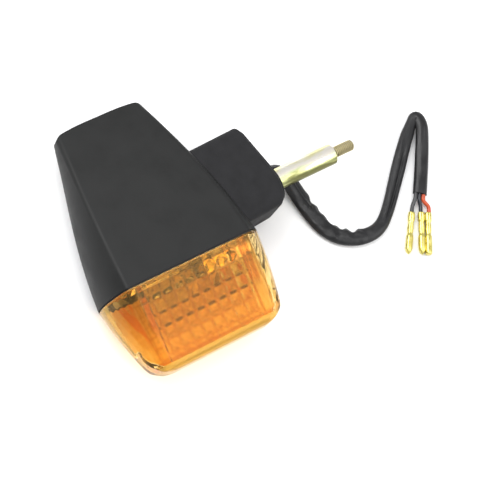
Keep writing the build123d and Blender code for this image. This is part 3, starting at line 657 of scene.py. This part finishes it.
def make_neck():
    """A rubber block from inside the housing's wall to its end, with a moulded step there."""
    # Places along the block, and how far the outline draws in there.
    rows = [(NECK_ROOT_Y + i * 1.25, 0.0) for i in range(28)]
    rows += [(65.4, 0.1), (65.9, 0.35), (66.3, 0.75), (NECK_STEP_Y, 1.2), (NECK_STEP_Y, 1.8), (66.6, 1.9)]
    rows += [(67.1, 1.95), (67.5, 2.1), (67.75, 2.4), (NECK_END_Y, 3.0)]
    verts = []
    count = None
    for y, inset in rows:
        share = min((y - NECK_ROOT_Y) / (NECK_STEP_Y - NECK_ROOT_Y), 1.0)
        ring = rounded(neck_corners(share, inset), NECK_CORNER_R - inset * 0.35, 9)
        if count is None:
            gaps = [(ring[(i + 1) % len(ring)] - p).length for i, p in enumerate(ring)]
            pattern = [max(1, round(gap / NECK_STEP)) for gap in gaps]
            count = sum(pattern)
        points = []
        for i, p in enumerate(ring):
            q = ring[(i + 1) % len(ring)]
            points += [p.lerp(q, k / pattern[i]) for k in range(pattern[i])]
        for p in points:
            wall = side_y(min(p.x, HOUSING_ROWS[-1][0] - 0.05), p.y, HOUSING_ROWS) - 0.9
            place = y + share * end_bow(p.x)
            place = max(place, wall) if y < 50 else place
            wave = 0.12 * noise.noise(Vector((p.x, y, p.y)) * 0.12) if y < 66 else 0
            verts.append((p.x, place, p.y + wave))
    faces = tube_faces(len(rows), count)
    centre = Vector((NECK_MIDDLE_X, NECK_END_Y + end_bow(NECK_MIDDLE_X), 0.0))
    last = (len(rows) - 1) * count
    steps = 10
    for s in range(1, steps):
        for j in range(count):
            p = Vector(verts[last + j]).lerp(centre, s / steps)
            verts.append(tuple(p))
    faces += [tuple(i + last for i in face) for face in tube_faces(steps, count)]
    verts.append(tuple(centre))
    tail = len(verts) - 1 - count
    faces += [(tail + j, tail + (j + 1) % count, len(verts) - 1) for j in range(count)]
    faces.append(tuple(range(count))[::-1])
    obj = new_object("neck_rubber_block", verts, faces, RUBBER, shift=LAMP)
    return outward(obj)


neck = make_neck()
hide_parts("neck")
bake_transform(neck)


# ---------------------------------------------------------------- stud
# The stud's spacer, and its M6 thread of 1 mm pitch: radii, and where the thread starts and ends.
SPACER_R = 5.5
SPACER_INSIDE_Y = -45.5
THREAD_PITCH = 1.0
THREAD_ROOT_R = 2.42
THREAD_DEPTH = 0.56
THREAD_R = 3.0
THREAD_Y = (0.25, 12.5)
THREAD_CHAMFER = 0.95
# Thread faces inside this radius take the darker root material, which is painted shade.
THREAD_LIT_R = 2.75


def thread_radius(y, turn):
    """The thread's radius at a place along it and a share of a turn round it."""
    start, end = THREAD_Y
    phase = (y / THREAD_PITCH - turn) % 1.0
    tooth = max(0.0, min(1.0, 1.25 - 2.6 * abs(phase - 0.5)))
    radius = THREAD_ROOT_R + THREAD_DEPTH * tooth
    if y < 2:
        radius = min(radius, THREAD_ROOT_R + 0.6 * ramp(y, start, start + THREAD_PITCH))
    return min(radius, THREAD_R - max(0.0, y - (end - THREAD_CHAMFER)) * THREAD_CHAMFER)


def make_stud():
    """The spacer with a turned end and the rivet in the rubber, then the thread."""
    rows = [(-48.7, 4.6), (-47.5, 4.6), (-47.5, 3.5), (SPACER_INSIDE_Y, 3.5), (SPACER_INSIDE_Y, SPACER_R)]
    rows += [(-45.3 + i * 0.5, SPACER_R + 0.006 * math.sin(i * 1.7)) for i in range(90)]
    rows += [(-0.6, SPACER_R), (-0.3, 5.34), (-0.06, 5.0), (0.0, 4.85), (0.0, 2.6)]
    count = 72
    per_pitch = 16
    total = int((THREAD_Y[1] - THREAD_Y[0]) / THREAD_PITCH * per_pitch)
    verts = []
    for y, radius in rows:
        for k in range(count):
            angle = 2 * math.pi * k / count
            verts.append((radius * math.cos(angle), y, radius * math.sin(angle)))
    for i in range(total + 1):
        y = THREAD_Y[0] + i / per_pitch * THREAD_PITCH
        for k in range(count):
            radius = thread_radius(y, k / count)
            angle = 2 * math.pi * k / count
            verts.append((radius * math.cos(angle), y, radius * math.sin(angle)))
    faces = tube_faces(len(rows) + total + 1, count)
    faces.append(tuple(range(count)))
    faces.append(tuple(range(len(verts) - count, len(verts)))[::-1])
    obj = outward(new_object("stud_turned", verts, faces, ZINC))
    obj.data.materials.append(THREAD)
    obj.data.materials.append(THREAD_ROOT_SHADE)
    for polygon in obj.data.polygons:
        if min(polygon.vertices) >= len(rows) * count:
            reach = Vector((polygon.center.x, polygon.center.z)).length / MM
            # Crests take the thread zinc, and faces in the roots take the painted shade.
            polygon.material_index = 1 if reach > THREAD_LIT_R else 2
    return obj


stud = make_stud()
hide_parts("stud")
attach(stud, "mount")

# ---------------------------------------------------------------- harness
LIE_Z = -19.4
SLEEVE_WALL = 0.55
SLEEVE_STEP = 0.6
SLEEVE_ROUTE = [
    (-7.2, -39.8, -7.0), (-7.2, -30.5, -7.2), (-1.8, -22.6, -13.8), (8.4, -19.4, LIE_Z),
    (20.0, -18.3, LIE_Z), (31.0, -15.6, LIE_Z), (39.0, -9.6, LIE_Z), (43.7, 1.0, LIE_Z),
    (43.4, 12.2, LIE_Z), (35.9, 22.0, LIE_Z), (25.0, 32.8, LIE_Z), (14.3, 43.4, LIE_Z),
    (7.0, 50.9, LIE_Z), (0.6, 58.3, LIE_Z + 0.2), (-3.0, 63.6, LIE_Z + 1.0), (3.2, 63.4, LIE_Z + 2.4),
    (10.2, 59.5, LIE_Z + 1.6), (18.5, 54.6, LIE_Z + 0.3), (27.5, 48.6, LIE_Z), (36.3, 42.3, LIE_Z),
]


def smooth_line(points):
    """Points along the smooth NURBS spline that has these control points, in metres."""
    curve = bpy.data.curves.new("route", "CURVE")
    curve.dimensions = "3D"
    curve.resolution_u = 32
    spline = curve.splines.new("NURBS")
    spline.points.add(len(points) - 1)
    for point, place in zip(spline.points, points):
        point.co = (*(Vector(place) * MM), 1)
    spline.order_u = 3
    spline.use_endpoint_u = True
    carrier = bpy.data.objects.new("route", curve)
    bpy.context.scene.collection.objects.link(carrier)
    graph = bpy.context.evaluated_depsgraph_get()
    mesh = bpy.data.meshes.new_from_object(carrier.evaluated_get(graph))
    line = [v.co.copy() for v in mesh.vertices]
    bpy.data.meshes.remove(mesh)
    bpy.data.objects.remove(carrier)
    return line


def even_steps(line, step):
    """The same line at even steps, with the distance along it of each place."""
    marks = [0.0]
    for a, b in zip(line, line[1:]):
        marks.append(marks[-1] + (b - a).length)
    count = max(2, round(marks[-1] / step))
    out = []
    i = 0
    for k in range(count + 1):
        wanted = marks[-1] * k / count
        while i < len(marks) - 2 and marks[i + 1] < wanted:
            i += 1
        span = max(marks[i + 1] - marks[i], 1e-9)
        out.append(line[i].lerp(line[i + 1], (wanted - marks[i]) / span))
    return out, marks[-1]


def make_sleeve():
    """A limp vinyl tube that has been squashed flat, creased along its inner edge and folded once."""
    line, length = even_steps(smooth_line(SLEEVE_ROUTE), SLEEVE_STEP * MM)
    total = len(line)
    count = 56
    verts = []
    for i, centre in enumerate(line):
        s = length * i / (total - 1) / MM
        along = (line[min(i + 2, total - 1)] - line[max(i - 2, 0)]).normalized()
        wide = Vector((0, 0, 1)).cross(along).normalized()
        high = along.cross(wide)
        half_wide = table(s, WIDTHS)
        half_high = table(s, HEIGHTS)
        behind, beyond = line[max(i - 5, 0)], line[min(i + 5, total - 1)]
        turn = (centre - behind).cross(beyond - centre).z
        tight = abs(turn) / max((centre - behind).length * (beyond - centre).length, 1e-12)
        # The inner side of a bend has room for most of its radius, and no more.
        room = 5 * SLEEVE_STEP / max(tight, 1e-6) * 0.85
        for k in range(count):
            angle = 2 * math.pi * k / count
            c, n = math.cos(angle), math.sin(angle)
            inner = c * turn > 0
            crease_u, crease_v = sleeve_creases(s, c, n)
            u = math.copysign(abs(c) ** 0.85, c) * (min(half_wide, room) if inner else half_wide) + crease_u
            v = math.copysign(abs(n) ** 1.2, n) * half_high + crease_v
            verts.append(centre / MM + wide * u + high * v)
    faces = tube_faces(total, count)
    obj = new_object("sleeve_tube", verts, faces, SLEEVE)
    thick = obj.modifiers.new("wall", "SOLIDIFY")
    thick.thickness = SLEEVE_WALL * MM
    thick.offset = -1
    bpy.context.view_layer.objects.active = obj
    bpy.ops.object.modifier_apply(modifier=thick.name)
    return outward(obj), line


# Half the sleeve's width and height along its length, in millimetres.
WIDTHS = [
    (0, 3.1), (5, 3.2), (14, 4.2), (24, 4.7), (50, 4.6), (70, 4.2), (95, 3.5), (125, 3.9), (142, 3.6),
    (150, 3.0), (158, 3.5), (180, 3.8), (215, 4.0),
]
HEIGHTS = [(0, 3.1), (5, 3.1), (16, 2.4), (200, 2.35), (215, 2.2)]


def sleeve_creases(s, c, n):
    """Folds in the sleeve at a distance along it: scallops on the inner edge and long creases on top."""
    edge = max(0.0, c) ** 2
    bumps = ramp(s, 30, 42) * (1 - ramp(s, 74, 84))
    lobes = math.sin(s * 0.78) * (0.7 + 0.5 * math.sin(s * 0.21)) + 0.5 * math.sin(s * 0.41 + 1.0)
    extra_u = bumps * edge * 0.75 * lobes
    top = max(0.0, n)
    fold = math.sin(s * 0.78 + 2.2 * c) * ramp(c, -0.5, 0.9)
    wrinkle = noise.noise(Vector((s * 0.3, c * 1.4, 0.3)))
    extra_v = top * bumps * (0.45 * fold + 0.5 * wrinkle)
    extra_v += top * 0.3 * noise.noise(Vector((s * 0.1, c * 2.4, 4.0)))
    crease = math.exp(-(((c + 0.15) / 0.16) ** 2)) * ramp(s, 86, 96) * (1 - ramp(s, 128, 140))
    crease += 0.8 * math.exp(-(((c - 0.25) / 0.2) ** 2)) * ramp(s, 14, 22) * (1 - ramp(s, 36, 46))
    extra_v -= top * 1.5 * crease
    return extra_u, extra_v


sleeve, sleeve_line = make_sleeve()
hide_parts("harness_sleeve")
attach(sleeve, "mount")


# Bullet terminals: (place along, radius, how much the crimp and seam show).
CRIMP_ROWS = [
    (0.0, 1.5, 1.0), (0.15, 1.72, 1.0), (1.6, 1.78, 1.0), (3.4, 1.74, 1.0), (4.6, 1.76, 1.0),
    (4.9, 1.62, 1.0), (5.4, 1.42, 0.8), (6.4, 1.4, 0.8), (6.9, 1.56, 1.0), (8.4, 1.6, 1.0), (9.9, 1.6, 1.0),
    (10.8, 1.56, 0.8), (11.5, 1.38, 0.5), (12.4, 1.42, 0.4), (13.2, 1.82, 0.3), (13.6, 1.9, 0.3),
]
POINTED_ROWS = [
    (19.8, 1.93, 0.3), (20.6, 1.85, 0.3), (21.6, 1.6, 0.2), (22.5, 1.15, 0.1), (23.1, 0.7, 0.0),
    (23.4, 0.35, 0.0), (23.5, 0.08, 0.0),
]
BLUNT_ROWS = [
    (21.6, 1.92, 0.3), (22.6, 1.86, 0.2), (23.1, 1.65, 0.1), (23.4, 1.2, 0.0), (23.5, 0.6, 0.0),
    (23.5, 0.08, 0.0),
]
BULLET_AXIS_Z = FLOOR_Z + 1.95
SEAM_WIDTH = 0.2


def make_bullet(name, start, aim, pointed):
    """A crimped brass bullet terminal with a rolled seam, lying along its aim."""
    heading = (Vector(aim) - Vector(start)).normalized()
    side = Vector((-heading.y, heading.x))
    rows = CRIMP_ROWS + (POINTED_ROWS if pointed else BLUNT_ROWS)
    count = 40
    verts = []
    for y, radius, crimp in rows:
        place = Vector(start) + heading * y
        for k in range(count):
            angle = 2 * math.pi * k / count
            away = abs(math.atan2(math.sin(angle - math.pi / 2), math.cos(angle - math.pi / 2)))
            seam = math.exp(-((away / SEAM_WIDTH) ** 2))
            r = radius * (1 - 0.16 * seam * (0.35 + crimp))
            r *= 1 + 0.05 * crimp * math.cos(2 * angle)
            corner = place + side * r * math.cos(angle)
            z = max(BULLET_AXIS_Z + r * math.sin(angle), FLOOR_Z + 0.02)
            verts.append((corner.x, corner.y, z))
    faces = tube_faces(len(rows), count)
    faces.append(tuple(range(count)))
    faces.append(tuple(range(len(verts) - count, len(verts)))[::-1])
    obj = outward(new_object(name, verts, faces, BULLET))
    soft = obj.modifiers.new("soft", "SUBSURF")
    soft.levels = soft.render_levels = 1
    return obj


# (node, start, a place it points at, whether its end is pointed)
BULLETS = [
    ("bullet_dark", (42.9, 33.2), (62.9, 18.4), True),
    ("bullet_black", (45.1, 38.0), (66.1, 25.7), True),
    ("bullet_red", (46.9, 41.4), (67.9, 28.9), False),
]
with_sleeve = [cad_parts[name] for name in ("wire_dark", "wire_black", "wire_red")]
for cad_name, start, aim, pointed in BULLETS:
    bullet = make_bullet(cad_name + "_crimped", start, aim, pointed)
    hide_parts(cad_name)
    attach(bullet, "mount")
    with_sleeve.append(bullet)

# ---------------------------------------------------------------- studio
FLOOR_HALF = 3000
FLOOR_TOP_Z = FLOOR_Z - 0.1
FLOOR_WHITE = solid_material(
    "floor_white",
    two_tones((0.86, 0.86, 0.87), (0.88, 0.88, 0.88)),
    (0.7, 0.8), 0.05, 0.002, 0.00001,
)
floor_signs = ((-1, -1), (1, -1), (1, 1), (-1, 1))
floor_corners = [(x * FLOOR_HALF, y * FLOOR_HALF, FLOOR_TOP_Z) for x, y in floor_signs]
floor = new_object("floor", floor_corners, [(0, 1, 2, 3)], FLOOR_WHITE)
world = bpy.data.worlds.new("studio")
bpy.context.scene.world = world
world.use_nodes = True
world.node_tree.nodes["Background"].inputs["Color"].default_value = (1, 1, 1, 1)
world.node_tree.nodes["Background"].inputs["Strength"].default_value = 0.75


def lamp(name, place, aim, size, power):
    """A square soft light that faces a point; places in metres."""
    light = bpy.data.lights.new(name, "AREA")
    light.size = size
    light.energy = power
    obj = bpy.data.objects.new(name, light)
    obj.location = place
    obj.rotation_euler = (Vector(aim) - Vector(place)).to_track_quat("-Z", "Y").to_euler()
    bpy.context.scene.collection.objects.link(obj)


MIDDLE = (0, -0.05, 0)
lamp("key", (-0.5, -0.35, 0.75), MIDDLE, 0.6, 7.5)
lamp("fill", (0.6, 0.5, 0.7), MIDDLE, 0.7, 4.5)
lamp("top", (0.0, -0.1, 1.3), MIDDLE, 0.9, 6.0)

# The camera: the direction from the lamp to it, its right and its up, and its distance in metres. Its focal
# length, and how far right of and above the lamp it is aimed, are in pixels of an image this wide.
AWAY = Vector((0.1477, -0.3393, 0.9290))
RIGHT = Vector((0.4782, 0.8467, 0.2332))
UP = Vector((-0.8657, 0.4098, 0.2873))
DISTANCE = 0.9
IMAGE_PX = 480
FOCAL_PX = 1836.0
AIM_RIGHT_PX = 60.76
AIM_UP_PX = 33.15
SENSOR_MM = 36.0
camera_data = bpy.data.cameras.new("camera")
camera_data.sensor_width = SENSOR_MM
camera_data.lens = FOCAL_PX / IMAGE_PX * SENSOR_MM
camera_data.clip_start, camera_data.clip_end = 0.01, 20
camera = bpy.data.objects.new("camera", camera_data)
bpy.context.scene.collection.objects.link(camera)
bpy.context.scene.camera = camera
camera.location = LAMP * MM + AWAY * DISTANCE
forward = (-AWAY * FOCAL_PX + RIGHT * AIM_RIGHT_PX + UP * AIM_UP_PX).normalized()
right = (RIGHT - forward * RIGHT.dot(forward)).normalized()
up = right.cross(forward)
camera.rotation_mode = "QUATERNION"
camera.rotation_quaternion = Matrix((right, up, -forward)).transposed().to_quaternion()
bpy.context.scene.view_settings.view_transform = "Standard"
